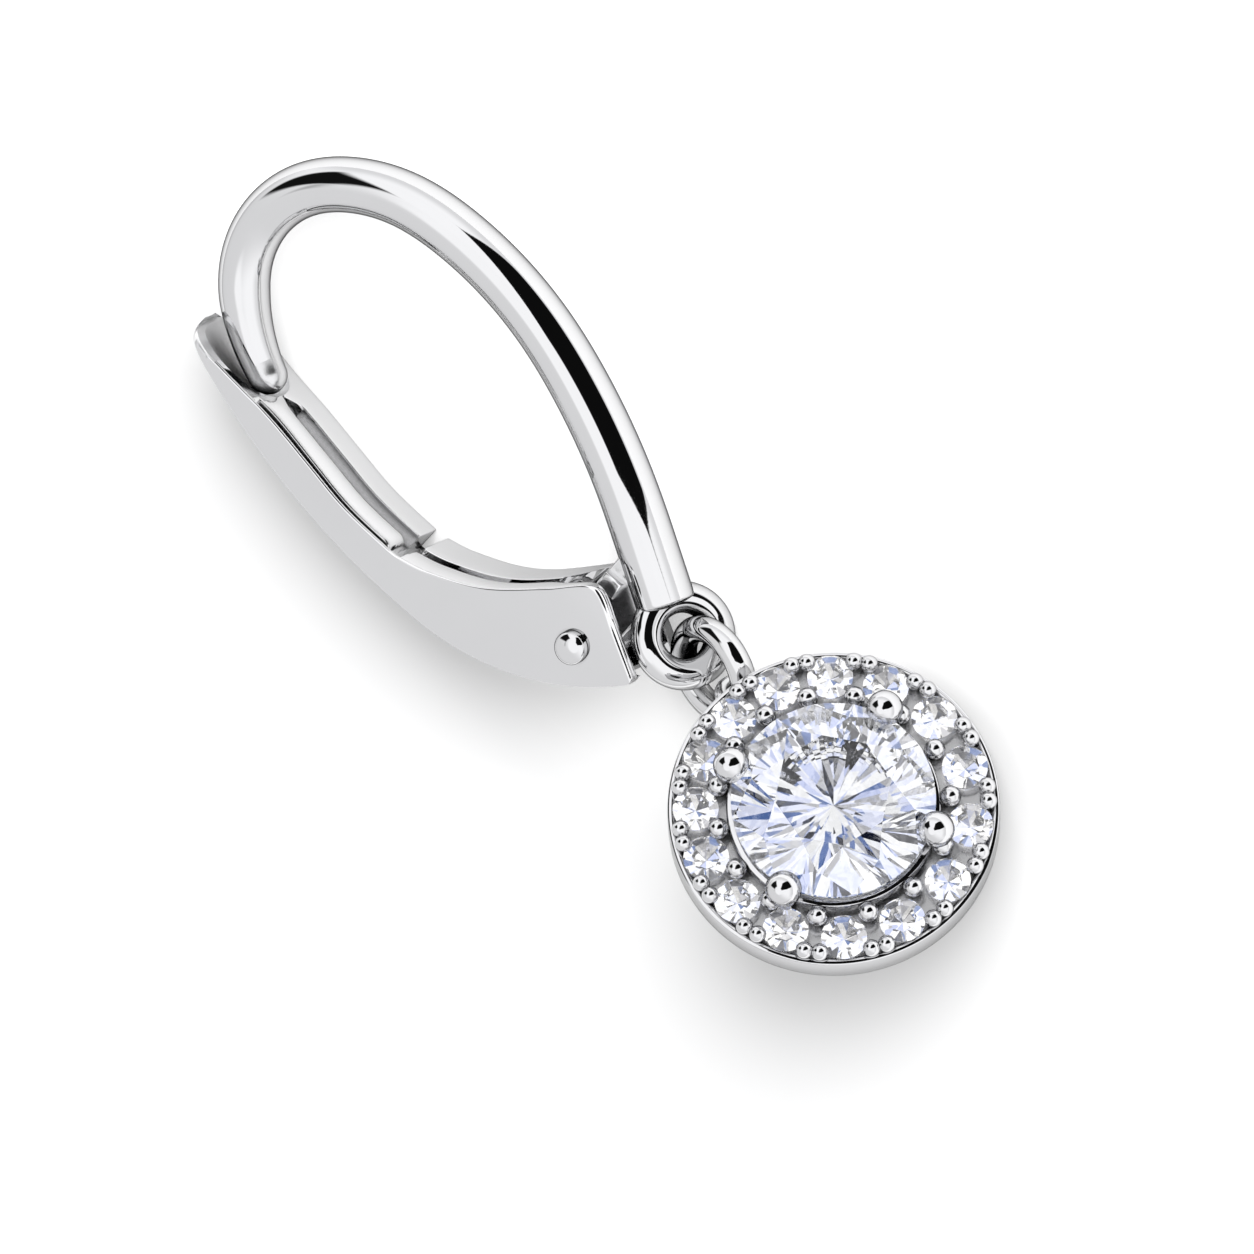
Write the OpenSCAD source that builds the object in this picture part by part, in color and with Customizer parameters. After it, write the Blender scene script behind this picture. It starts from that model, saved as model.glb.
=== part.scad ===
// Leverback earring with a round halo pendant, lying on its side.
// X runs along the hoop towards the pendant, Y runs across the hoop towards the ear wire,
// and Z is the rivet's axis. The lever's far cheek lies on z = 0. Millimetres.

/* [Lever] */
// Width of the lever across its two cheeks
lever_w = 2.8; // [2.7:0.05:3.0]
// Thickness of a cheek at the rivet
cheek_t = 0.36; // [0.3:0.01:0.37]
// Thickness of the lever's floor
floor_t = 0.3; // [0.24:0.01:0.32]
// How far the rounded belly swells below the cheeks at the catch end
belly_swell = 0.22; // [0.1:0.01:0.25]
// Width of the notch across the lever
notch_w = 0.34; // [0.2:0.01:0.4]
// Width of the slot beside the tongue
slot_w = 0.64; // [0.4:0.01:0.7]
// Depth of the slot beside the tongue
slot_depth = 0.5; // [0.3:0.01:0.55]

/* [Rivet] */
// Radius of the rivet's shank
rivet_r = 0.28; // [0.24:0.01:0.3]
// Radius of the rivet's domed head
rivet_head_r = 0.42; // [0.38:0.01:0.46]
// Height of the rivet's domed head
rivet_head_h = 0.3; // [0.2:0.01:0.32]
// Running clearance round the rivet in the lever and in the hinge tab
rivet_gap = 0.02; // [0.015:0.005:0.03]

/* [Ear wire] */
// Wire diameter at the base loop
wire_base_d = 1.5; // [1.4:0.01:1.52]
// Wire diameter at the top of the hook
wire_mid_d = 1.42; // [1.3:0.01:1.45]
// Wire diameter at the far bend
wire_bend_d = 1.24; // [1.15:0.01:1.3]
// Wire diameter at the rounded tip
wire_tip_d = 0.94; // [0.8:0.01:0.96]
// Thickness of the hinge tab
tab_t = 1.0; // [0.8:0.05:1.1]
// Radius of the base loop to the middle of its wire
loop_r = 0.95; // [0.93:0.01:0.96]
// Radius of the base loop's wire
loop_wire_r = 0.39; // [0.37:0.01:0.4]

/* [Jump ring] */
// Radius of the jump ring to the middle of its wire
ring_r = 1.11; // [1.1:0.005:1.115]
// Radius of the jump ring's wire
ring_wire_r = 0.33; // [0.3:0.01:0.33]

/* [Halo pendant] */
// Outer radius of the halo
halo_r = 4.05; // [4.0:0.01:4.06]
// Depth of the halo's wall behind the tables of its stones
halo_depth = 1.06; // [1.0:0.01:1.1]
// Number of stones in the halo
halo_n = 15; // [15:1:15]
// Radius of the row of halo stones
row_r = 3.36; // [3.34:0.01:3.38]
// Diameter of a halo stone
halo_stone_d = 1.12; // [1.0:0.01:1.14]
// Diameter of the centre stone
centre_d = 5.0; // [4.9:0.01:5.02]
// Radius of the circle through the four ball prongs
prong_row_r = 2.63; // [2.6:0.01:2.66]
// Radius of a ball prong
prong_r = 0.45; // [0.4:0.01:0.47]
// Gap between a stone and the metal round it
stone_gap = 0.02; // [0.015:0.005:0.03]

/* [Hidden] */
$fn = 48;
eps = 0.01;

// The drawing below has the rivet's axis at x = 0, y = 0. This moves it so that the origin is
// the middle of the bottom of the whole earring.
rivet_xy = [1.098, -1.285];

mid_z = lever_w / 2;

// Ear wire: it leaves the base loop at wire_start and bends through five arcs that meet
// smoothly, after a nearly straight start. Columns: radius of the arc, angle that it turns
// through, wire diameter at its end.
wire_start = [0.62, 2.00];
wire_heading = 153.6;
wire_arcs = [
    [600.0, 0.2, wire_base_d],
    [17.2, 14.7, 0.5 * (wire_base_d + wire_mid_d)],
    [10.2, 27.0, wire_mid_d],
    [4.55, 37.8, 1.37],
    [2.77, 87.0, wire_bend_d + 0.04],
    [5.0, 24.0, wire_tip_d]];
wire_sides = 24;

// Base loop and jump ring
loop_c = [1.5, 1.69, 1.285];
wire_line = -24;
loop_twist = 50;
ring_c = loop_c + [1.144, -0.02, -0.055];
ring_n = unit([-0.1148, -0.4364, 0.8924]);

// Pendant: the middle of the plane of the halo's tables, and the way the pendant faces
face_c = loop_c + [5.991, 1.294, 2.2];
face_n = unit([-0.1106, 0.6556, 0.7469]);
face_up = unit([-0.755, 0.4335, -0.4923]);
prong_at = [61.6, -17.9, -117.6, 160.7];
// The stones sit a little closer together on the left side of the row
row_turn = 86.6;
row_crowding = 5.1;
row_crowd_at = 20.5;

// Lever belly, seen from the side: a long shallow arc and a tighter one that meets it
belly_low = [-6.9, -3.15];
belly_r = 20.6;
join_x = -3.3;
join_r = 7.4;
// Top edge of the lever's cheeks from the catch end to the rivet end. Columns: x, y.
top_rows = [
    [-12.43, -2.42],
    [-12.06, -2.37],
    [-11.34, -2.32],
    [-10.77, -2.29],
    [-10.19, -2.25],
    [-9.70, -2.21],
    [-9.00, -2.20],
    [-7.76, -2.24],
    [-6.47, -2.27],
    [-5.10, -2.12],
    [-4.66, -2.03],
    [-3.84, -1.66],
    [-2.59, -0.78],
    [-1.45, 0.55],
    [-0.81, 1.40],
    [-0.42, 1.50],
    [0.45, 1.12],
    [1.19, 0.80],
    [1.64, 0.60]];
notch_x = -4.97;
cup_x = [-12.12, -9.8];
end_x = -12.43;
// Corner radius of the lever's catch end and of the cup inside it, and the cup's wall
catch_r = 0.95;
cup_r = 0.85;
cup_wall = 0.3;

function unit(v) = v / norm(v);
// n + 1 values from a to b, evenly spaced
function evenly(a, b, n) = [for (i = [0:n]) a + (b - a) * i / n];

// A smooth curve through the rows [x, y] at point x, with slopes taken from their neighbours
function slope_at(rows, i, col) =
    let (a = max(i - 1, 0), b = min(i + 1, len(rows) - 1))
    (rows[b][col] - rows[a][col]) / (rows[b][0] - rows[a][0]);
function row_before(rows, x, i = 0) =
    (i >= len(rows) - 2 || rows[i + 1][0] >= x) ? i : row_before(rows, x, i + 1);
function smooth_y(rows, x, col) =
    let (
        i = row_before(rows, x),
        w = rows[i + 1][0] - rows[i][0],
        t = (x - rows[i][0]) / w,
        m0 = slope_at(rows, i, col) * w,
        m1 = slope_at(rows, i + 1, col) * w)
    rows[i][col] * (2 * t * t * t - 3 * t * t + 1) + m0 * (t * t * t - 2 * t * t + t)
    + rows[i + 1][col] * (3 * t * t - 2 * t * t * t) + m1 * (t * t * t - t * t);
function top_y(x) = smooth_y(top_rows, x, 1);
join_turn = asin((join_x - belly_low[0]) / belly_r);
join_y = belly_low[1] + belly_r * (1 - cos(join_turn));
join_c = [join_x - join_r * sin(join_turn), join_y + join_r * cos(join_turn)];
function belly_y(x) = x < join_x ?
    belly_low[1] + belly_r - sqrt(belly_r * belly_r - pow(x - belly_low[0], 2)) :
    join_c[1] - sqrt(join_r * join_r - pow(x - join_c[0], 2));

// Joins rings of points, each with the same count, into the faces of one closed tube
function tube_faces(rings, sides) = concat(
    [[for (j = [0:sides - 1]) j]],
    [for (i = [0:rings - 2]) for (j = [0:sides - 1])
        let (k = (j + 1) % sides)
        [i * sides + j, (i + 1) * sides + j, (i + 1) * sides + k, i * sides + k]],
    [[for (j = [sides - 1:-1:0]) (rings - 1) * sides + j]]);

// Turns the shape so that its +Z points along n
module aim(n) {
    rotate([0, acos(n[2]), atan2(n[1], n[0])]) children();
}

// Ear wire centre line as stations [x, y, heading, diameter]
function arc_steps(a) = max(2, ceil(a[1] / 4));
function arc_end(s, a) =
    let (h = s[2] + a[1])
    [s[0] + a[0] * (sin(h) - sin(s[2])), s[1] - a[0] * (cos(h) - cos(s[2])), h, a[2]];
function arc_stations(s, a) = [for (i = [1:arc_steps(a)])
    let (t = i / arc_steps(a), p = arc_end(s, [a[0], a[1] * t, a[2]]))
    [p[0], p[1], p[2], s[3] + (a[2] - s[3]) * t]];
function wire_path(s, i = 0) =
    i >= len(wire_arcs) ? [] :
    concat(arc_stations(s, wire_arcs[i]), wire_path(arc_end(s, wire_arcs[i]), i + 1));
wire_first = [wire_start[0], wire_start[1], wire_heading, wire_base_d];
wire_stations = concat([wire_first], wire_path(wire_first));
wire_last = wire_stations[len(wire_stations) - 1];

module hook() {
    points = [for (s = wire_stations) for (j = [0:wire_sides - 1])
        let (a = 360 * j / wire_sides, r = s[3] / 2)
        [s[0] - r * cos(a) * sin(s[2]), s[1] + r * cos(a) * cos(s[2]), mid_z + r * sin(a)]];
    polyhedron(points, tube_faces(len(wire_stations), wire_sides), convexity = 6);
    translate([wire_last[0], wire_last[1], mid_z]) sphere(r = wire_last[3] / 2 - 0.002);
}

// The tab that the rivet passes through, from the rivet up into the wire's base
tab_r = 0.68;
tab_far_edge = [[-0.62, 0.28], [-0.86, 1.2], [-0.9, 2.35]];
tab_loop_edge = [[0.5, 1.9], [0.5, 0.46]];
module hinge_tab() {
    translate([0, 0, mid_z - tab_t / 2]) linear_extrude(tab_t) difference() {
        union() {
            circle(r = tab_r);
            polygon(concat(tab_far_edge, tab_loop_edge));
        }
        circle(r = rivet_r + rivet_gap);
    }
}

module base_loop() {
    translate(loop_c) rotate([0, 0, wire_line]) rotate([-loop_twist, 0, 0])
        rotate_extrude() translate([loop_r, 0]) circle(r = loop_wire_r);
}

module ear_wire() {
    color("gainsboro") union() {
        hook();
        hinge_tab();
        base_loop();
    }
}

// Side view of the lever, drawn lower by drop where the belly is rounded across
lever_xs = concat(evenly(end_x, -10.0, 8), evenly(-9.75, -9.25, 3),
    evenly(-8.75, -4.75, 9), evenly(-4.25, 1.64, 19));
module side_view() {
    polygon(concat(
        [for (x = lever_xs) [x, belly_y(x) - belly_swell * min(1, max(0, (join_x - x) / 3))]],
        [for (i = [len(lever_xs) - 1:-1:0]) [lever_xs[i], top_y(lever_xs[i])]]));
}

// Ring whose outer wall is rounded across: it trims the underside of the long arc
module rounded_belly() {
    swell_r = (pow(mid_z, 2) + pow(belly_swell, 2)) / (2 * belly_swell);
    translate([belly_low[0], belly_low[1] + belly_r, 0]) rotate_extrude($fn = 180) intersection() {
        translate([belly_r - 6, 0]) square([6 + belly_swell, lever_w]);
        translate([belly_r + belly_swell - swell_r, mid_z]) circle(r = swell_r);
    }
}

module lever_blank() {
    over = 4;
    intersection() {
        linear_extrude(lever_w) side_view();
        union() {
            translate([join_x, -over, -1]) cube([6, 2 * over, lever_w + 2]);
            rounded_belly();
        }
        rotate([90, 0, 0]) translate([0, 0, -over]) linear_extrude(2 * over) hull() {
            for (z = [catch_r, lever_w - catch_r])
                translate([end_x + catch_r, z]) circle(r = catch_r);
            translate([3, -1]) square([1, lever_w + 2]);
        }
    }
}

// Channel round the hinge tab: open above and at the rivet end, past the end of the lever's
// floor. Its far and near walls thin towards the cheeks. Columns: x, z.
channel_x = -4.3;
floor_end_x = 1.15;
channel_far = [[channel_x - 0.1, 1.44], [-1.75, 1.44], [-0.95, 0.42], [-0.8, cheek_t],
    [2.3, cheek_t]];
channel_near = [[2.3, lever_w - cheek_t], [-0.95, lever_w - cheek_t], [-1.75, 1.94],
    [channel_x - 0.1, 1.86]];
module hinge_channel() {
    top = 3;
    xs = evenly(channel_x, floor_end_x, 12);
    intersection() {
        linear_extrude(lever_w) polygon(concat(
            [for (x = xs) [x, belly_y(x) + floor_t]],
            [[floor_end_x, -2], [2.2, -2], [2.2, top], [channel_x, top]]));
        translate([0, top, 0]) rotate([90, 0, 0]) linear_extrude(8)
            polygon(concat(channel_far, channel_near));
    }
}

// A slot of the given depth that follows the lever's top edge from x0 to x1
module top_slot(x0, x1, depth, z0, z1) {
    xs = evenly(x0, x1, 8);
    translate([0, 0, z0]) linear_extrude(z1 - z0) polygon(concat(
        [for (x = xs) [x, top_y(x) - depth]],
        [[x1, 0], [x0, 0]]));
}

module catch_cup() {
    xs = evenly(cup_x[0], cup_x[1], 6);
    intersection() {
        linear_extrude(lever_w) polygon(concat(
            [for (x = xs) [x, belly_y(x) - belly_swell + 0.28]],
            [[cup_x[1] + 0.15, -1.5], [cup_x[0] - 0.25, -1.5]]));
        rotate([90, 0, 0]) linear_extrude(6) hull() {
            for (x = [cup_x[0] + cup_r, cup_x[1] - 0.6], z = [cup_wall + cup_r, lever_w - cup_wall - cup_r])
                translate([x, z]) circle(r = cup_r);
        }
    }
}

// The slot's far wall, the near lip's inner face, and the fine groove between tongue and lip
slot_z = 0.98;
lip_z = lever_w - 0.12;
groove_w = 0.16;
groove_depth = 0.2;
notch_depth = 0.62;
module lever() {
    color("gainsboro") difference() {
        lever_blank();
        hinge_channel();
        catch_cup();
        top_slot(cup_x[1] + 0.25, notch_x + 0.1, slot_depth, slot_z, slot_z + slot_w);
        top_slot(cup_x[1] + 0.25, notch_x + 0.1, groove_depth, lip_z - groove_w, lip_z);
        top_slot(notch_x, notch_x + notch_w, notch_depth, -eps, lip_z);
        cylinder(r = rivet_r + rivet_gap, h = 10, center = true);
    }
}

module rivet_pin() {
    ball_r = (rivet_head_r * rivet_head_r + rivet_head_h * rivet_head_h) / (2 * rivet_head_h);
    head_z = lever_w + 0.02;
    color("silver") union() {
        translate([0, 0, 0.04]) cylinder(r = rivet_r, h = head_z);
        intersection() {
            translate([0, 0, head_z + rivet_head_h - ball_r]) sphere(r = ball_r);
            translate([0, 0, head_z]) cylinder(r = 1, h = 1);
        }
    }
}

module jump_ring() {
    color("gainsboro") translate(ring_c) aim(ring_n)
        rotate_extrude() translate([ring_r, 0]) circle(r = ring_wire_r);
}

// Round brilliant, girdle middle at z = 0. The kites and pavilion mains are flat.
girdle_half = 0.015;
function crown_h(d) = 0.145 * d;
function pavilion_h(d) = 0.43 * d;
function table_r(d) = 0.29 * d;
function mid_r(d) = 0.405 * d;
function mid_h(d) = girdle_half * d + (crown_h(d) - girdle_half * d)
    * (d / 2 - mid_r(d) * cos(22.5)) / (d / 2 - table_r(d));
function low_r(d) = 0.12 * d;
function low_h(d) = girdle_half * d
    + (pavilion_h(d) - girdle_half * d) * (1 - low_r(d) * cos(22.5) / (d / 2));
module brilliant(d) {
    rg = d / 2;
    rt = table_r(d);
    rk = mid_r(d);
    rl = low_r(d);
    hc = crown_h(d);
    hp = pavilion_h(d);
    g = girdle_half * d;
    hk = mid_h(d);
    hl = low_h(d);
    points = concat(
        [for (i = [0:7]) [rt * cos(45 * i), rt * sin(45 * i), hc]],
        [for (i = [0:7]) [rk * cos(45 * i + 22.5), rk * sin(45 * i + 22.5), hk]],
        [for (i = [0:15]) [rg * cos(22.5 * i), rg * sin(22.5 * i), g]],
        [for (i = [0:15]) [rg * cos(22.5 * i), rg * sin(22.5 * i), -g]],
        [for (i = [0:7]) [rl * cos(45 * i + 22.5), rl * sin(45 * i + 22.5), -hl]],
        [[0, 0, -hp]]);
    faces = concat(
        [[7, 6, 5, 4, 3, 2, 1, 0]],
        [for (i = [0:7]) [i, (i + 1) % 8, 8 + i]],
        [for (i = [0:7]) [i, 8 + i, 16 + 2 * i]],
        [for (i = [0:7]) [i, 16 + 2 * i, 8 + (i + 7) % 8]],
        [for (i = [0:7]) [16 + 2 * i, 8 + i, 17 + 2 * i]],
        [for (i = [0:7]) [17 + 2 * i, 8 + i, 16 + (2 * i + 2) % 16]],
        [for (i = [0:15]) let (k = (i + 1) % 16) [16 + i, 16 + k, 32 + k, 32 + i]],
        [for (i = [0:7]) [32 + 2 * i, 33 + 2 * i, 48 + i]],
        [for (i = [0:7]) [33 + 2 * i, 32 + (2 * i + 2) % 16, 48 + i]],
        [for (i = [0:7]) [32 + 2 * i, 48 + i, 56]],
        [for (i = [0:7]) [32 + 2 * i, 56, 48 + (i + 7) % 8]]);
    polyhedron(points, faces);
}

// The round room that a brilliant and its gap take up
module stone_room(d) {
    rg = d / 2 + stone_gap;
    g = girdle_half * d + stone_gap;
    rotate_extrude() polygon([[0, -pavilion_h(d) - 2 * stone_gap],
        [low_r(d) + 2 * stone_gap, -low_h(d) - stone_gap / 2], [rg, -g], [rg, g],
        [mid_r(d) + stone_gap, mid_h(d) + stone_gap],
        [table_r(d) + stone_gap, crown_h(d) + stone_gap], [0, crown_h(d) + stone_gap]]);
}

// The pendant's own frame: x to its right, y up its face, z out of its face
face_side = cross(face_up, face_n);
module in_pendant() {
    translate(face_c) multmatrix([
        [face_side[0], face_up[0], face_n[0], 0],
        [face_side[1], face_up[1], face_n[1], 0],
        [face_side[2], face_up[2], face_n[2], 0],
        [0, 0, 0, 1]]) children();
}
halo_girdle_z = -crown_h(halo_stone_d);
centre_girdle_z = 0.37;
function stone_angle(i) =
    row_turn - i * 360 / halo_n + row_crowding * cos(i * 360 / halo_n - row_crowd_at);
function bead_angle(i) = (stone_angle(i) + stone_angle(i + 1)) / 2;
module at_halo(i) {
    rotate([0, 0, stone_angle(i)]) translate([row_r, 0, halo_girdle_z]) children();
}

// A bead on an upright post that rises from the stone plate
plate_top = -0.5;
module bead(r, at_r, at_a, z) {
    rotate([0, 0, at_a]) translate([at_r, 0, 0]) {
        translate([0, 0, z]) sphere(r = r);
        translate([0, 0, plate_top - 0.2]) cylinder(r = 0.72 * r, h = z - plate_top + 0.2);
    }
}

// One bead on the inner side of each gap between stones and a pair on its outer side
inner_bead_r = 0.22;
inner_bead_row = 2.86;
outer_bead_r = 0.18;
outer_bead_row = 3.8;
outer_bead_turn = 2.9;
module halo_beads() {
    for (i = [0:halo_n - 1]) {
        a = bead_angle(i);
        bead(inner_bead_r, inner_bead_row, a, -0.1);
        for (way = [-1, 1]) bead(outer_bead_r, outer_bead_row, a + way * outer_bead_turn, -0.14);
    }
}

// Section of the ring: outer wall and its rim, the sunken stone plate, the seat of the centre
// stone and the bore behind it
rim_z = -0.22;
rim_w = 0.14;
seat_r = 2.62;
bore_r = 2.2;
module halo_ring() {
    rotate_extrude($fn = 96) polygon([
        [halo_r, -halo_depth], [halo_r, rim_z - 0.05], [halo_r - 0.05, rim_z],
        [halo_r - rim_w, rim_z], [halo_r - rim_w - 0.03, plate_top], [seat_r, plate_top],
        [seat_r, -0.02], [seat_r - 0.2, -0.02], [bore_r + 0.14, -0.12], [bore_r, -0.3],
        [bore_r, -halo_depth]]);
}

prong_z = 0.5;
prong_post_r = 0.33;
module prongs() {
    for (a = prong_at) rotate([0, 0, a]) translate([prong_row_r, 0, 0]) {
        translate([0, 0, prong_z]) sphere(r = prong_r);
        translate([0, 0, plate_top - 0.2]) cylinder(r = prong_post_r, h = 1.0);
    }
}

// Plain collar behind the halo, under the centre stone
basket_z = -1.85;
module basket() {
    rotate_extrude() polygon([[bore_r + 0.04, -halo_depth + 0.05], [2.5, -halo_depth + 0.05],
        [1.75, basket_z], [1.5, basket_z]]);
}

// Plain rear eye round the jump ring's lowest point
eye_way = unit((face_c - ring_c) - ((face_c - ring_c) * ring_n) * ring_n);
eye_c = ring_c + ring_r * eye_way;
eye_n = cross(ring_n, eye_way);
eye_r = 0.56;
eye_wire_r = 0.17;
back_c = face_c - (halo_depth - 0.2) * face_n;
back_way = unit(eye_c - back_c - ((eye_c - back_c) * face_n) * face_n);
neck_end = back_c + 3.7 * back_way;
neck_flat = (neck_end - eye_c) - ((neck_end - eye_c) * eye_n) * eye_n;
neck_start = eye_c + eye_r * unit(neck_flat);
module rear_eye() {
    translate(eye_c) aim(eye_n) rotate_extrude() translate([eye_r, 0]) circle(r = eye_wire_r);
    translate(neck_start) aim(unit(neck_end - neck_start))
        cylinder(r = 0.2, h = norm(neck_end - neck_start));
}

module halo_setting() {
    color("gainsboro") union() {
        in_pendant() difference() {
            union() {
                halo_ring();
                halo_beads();
                prongs();
                basket();
            }
            translate([0, 0, centre_girdle_z]) stone_room(centre_d);
            for (i = [0:halo_n - 1]) at_halo(i) stone_room(halo_stone_d);
        }
        rear_eye();
    }
}

centre_turn = 11;
module centre_stone() {
    color("lavender") in_pendant() translate([0, 0, centre_girdle_z]) rotate([0, 0, centre_turn])
        brilliant(centre_d);
}

module halo_stone(i) {
    color("aliceblue") in_pendant() at_halo(i) brilliant(halo_stone_d);
}

function stone_name(i) = str("halo_stone_", i < 9 ? "0" : "", i + 1);

translate([rivet_xy[0], rivet_xy[1], 0]) {
    ear_wire();
    lever();
    rivet_pin();
    jump_ring();
    halo_setting();
    centre_stone();
    for (i = [0:halo_n - 1]) halo_stone(i);
}
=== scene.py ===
import math

import bmesh
import bpy
import numpy as np
from mathutils import Matrix, Vector


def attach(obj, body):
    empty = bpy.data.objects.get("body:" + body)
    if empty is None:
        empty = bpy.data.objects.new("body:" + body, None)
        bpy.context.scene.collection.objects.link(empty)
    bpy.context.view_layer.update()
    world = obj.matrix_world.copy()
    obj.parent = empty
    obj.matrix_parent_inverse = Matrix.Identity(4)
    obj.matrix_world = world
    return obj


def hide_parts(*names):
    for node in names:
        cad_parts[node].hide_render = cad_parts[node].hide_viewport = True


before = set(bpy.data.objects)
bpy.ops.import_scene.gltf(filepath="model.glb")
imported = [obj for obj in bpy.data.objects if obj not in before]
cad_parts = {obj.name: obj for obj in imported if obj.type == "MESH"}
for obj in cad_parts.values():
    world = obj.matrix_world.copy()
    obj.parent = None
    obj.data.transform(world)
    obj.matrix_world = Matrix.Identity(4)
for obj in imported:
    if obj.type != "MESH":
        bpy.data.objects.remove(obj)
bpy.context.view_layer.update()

# Sizes below are in millimetres, in the drawing's own axes: the rivet's axis is at x = 0, y = 0.
# to_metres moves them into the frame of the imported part.
MM = 0.001
RIVET_X, RIVET_Y = 1.098, -1.285
LEVER_W = 2.8
MID_Z = LEVER_W / 2
# the radius at which a turned profile ends, so close to its axis that the cap doesn't show
ON_AXIS = 1e-4


def to_metres(points):
    """Drawing millimetres to frame metres."""
    return (np.asarray(points, float) + np.array([RIVET_X, RIVET_Y, 0.0])) * MM


def unit(v):
    v = np.asarray(v, float)
    return v / np.linalg.norm(v)


def axes_round(n):
    """Two directions square to n."""
    n = unit(n)
    side = unit(np.cross(n, [0.0, 0.0, 1.0] if abs(n[2]) < 0.9 else [1.0, 0.0, 0.0]))
    return side, np.cross(n, side)


# Meshes

def in_scene(name, data):
    """A new object in the scene."""
    obj = bpy.data.objects.new(name, data)
    bpy.context.scene.collection.objects.link(obj)
    return obj


def new_piece(name, verts, faces, material):
    """A mesh object from points in drawing millimetres."""
    mesh = bpy.data.meshes.new(name)
    mesh.from_pydata(to_metres(verts).tolist(), [], faces)
    mesh.validate()
    mesh.update()
    mesh.materials.append(material)
    mesh.polygons.foreach_set("use_smooth", [True] * len(mesh.polygons))
    return in_scene(name, mesh)


def outward(obj):
    """Turns every face of a closed mesh outwards."""
    bm = bmesh.new()
    bm.from_mesh(obj.data)
    bmesh.ops.recalc_face_normals(bm, faces=bm.faces)
    bm.to_mesh(obj.data)
    bm.free()


def shade_by_area(obj, sharp_deg):
    """Vertex normals weighted by face area, so that flats stay flat and bevels turn smoothly."""
    mesh = obj.data
    mesh.set_sharp_from_angle(angle=math.radians(sharp_deg))
    weighted = obj.modifiers.new("weighted", "WEIGHTED_NORMAL")
    weighted.keep_sharp = True
    weighted.weight = 50
    bpy.context.view_layer.objects.active = obj
    bpy.ops.object.modifier_apply(modifier=weighted.name)


def repaint(obj, material, chosen, first=0):
    """Gives another material to the faces, from the first on, that chosen(centre, normal) picks.

    The centre comes in drawing millimetres.
    """
    mesh = obj.data
    mesh.materials.append(material)
    place = len(mesh.materials) - 1
    shift = np.array([RIVET_X, RIVET_Y, 0.0])
    for face in mesh.polygons[first:]:
        centre = np.array(face.center) / MM - shift
        if chosen(centre, np.array(face.normal)):
            face.material_index = place


class Shape:
    """Collects the points and faces of one piece."""

    def __init__(self):
        self.verts = []
        self.faces = []

    def add(self, verts, faces):
        start = len(self.verts)
        self.verts.extend(np.asarray(verts, float).tolist())
        self.faces.extend([[start + i for i in f] for f in faces])

    def tube(self, rings):
        """Rings of equal counts joined into a tube and capped at its ends."""
        n, m = len(rings), len(rings[0])
        faces = []
        for i in range(n - 1):
            a, b = i * m, (i + 1) * m
            faces.extend([a + j, a + (j + 1) % m, b + (j + 1) % m, b + j] for j in range(m))
        faces.append(list(range(m - 1, -1, -1)))
        faces.append([(n - 1) * m + j for j in range(m)])
        self.add(np.concatenate(rings), faces)

    def lathe(self, profile, centre, axis, sides, x_axis=None, closed_profile=True):
        """Turns a profile of (radius, height) rows round an axis through centre.

        An open profile's two ends lie close to the axis, and each gets a small cap.
        """
        n = unit(axis)
        u = unit(x_axis) if x_axis is not None else axes_round(n)[0]
        v = np.cross(n, u)
        prof = np.asarray(profile, float)
        rings = []
        for k in range(sides):
            a = 2 * math.pi * k / sides
            way = math.cos(a) * u + math.sin(a) * v
            rings.append(np.asarray(centre) + prof[:, :1] * way + prof[:, 1:] * n)
        m = len(prof)
        faces = []
        for k in range(sides):
            a, b = k * m, ((k + 1) % sides) * m
            for j in range(m if closed_profile else m - 1):
                i = (j + 1) % m
                faces.append([a + j, b + j, b + i, a + i])
        if not closed_profile:
            faces.append([k * m for k in range(sides)])
            faces.append([k * m + m - 1 for k in range(sides - 1, -1, -1)])
        self.add(np.concatenate(rings), faces)

    def torus(self, centre, axis, big_r, wire_r, around, across):
        turn = np.linspace(0, 2 * math.pi, across, endpoint=False)
        profile = np.stack([big_r + wire_r * np.cos(turn), wire_r * np.sin(turn)], 1)
        self.lathe(profile, centre, axis, around)

    def ball(self, centre, axis, r, sides, post_r, post_h):
        """A ball on a post of that radius and length below its centre."""
        turn = np.linspace(0, math.pi - math.asin(post_r / r), sides // 2 + 1)
        profile = [(max(r * math.sin(t), ON_AXIS), r * math.cos(t)) for t in turn]
        profile += [(post_r, -post_h), (ON_AXIS, -post_h)]
        self.lathe(profile, centre, axis, sides, closed_profile=False)

    def piece(self, name, material, body, nodes, sharp_deg=40):
        """Makes the collected faces a piece that rides on a body and stands for CAD nodes."""
        obj = new_piece(name, self.verts, self.faces, material)
        outward(obj)
        shade_by_area(obj, sharp_deg)
        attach(obj, body)
        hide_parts(*nodes)
        return obj


# Materials

def node_material(name):
    mat = bpy.data.materials.new(name)
    mat.use_nodes = True
    nodes = mat.node_tree.nodes
    return mat, nodes, mat.node_tree.links, nodes["Principled BSDF"]


def noise(nodes, links, scale, detail=2.0):
    where = nodes.new("ShaderNodeTexCoord")
    tex = nodes.new("ShaderNodeTexNoise")
    tex.inputs["Scale"].default_value = scale
    tex.inputs["Detail"].default_value = detail
    links.new(where.outputs["Object"], tex.inputs["Vector"])
    return tex


def ramp_of(nodes, links, source, low, high):
    ramp = nodes.new("ShaderNodeValToRGB")
    ramp.color_ramp.elements[0].color = low
    ramp.color_ramp.elements[1].color = high
    links.new(source, ramp.inputs["Fac"])
    return ramp


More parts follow.
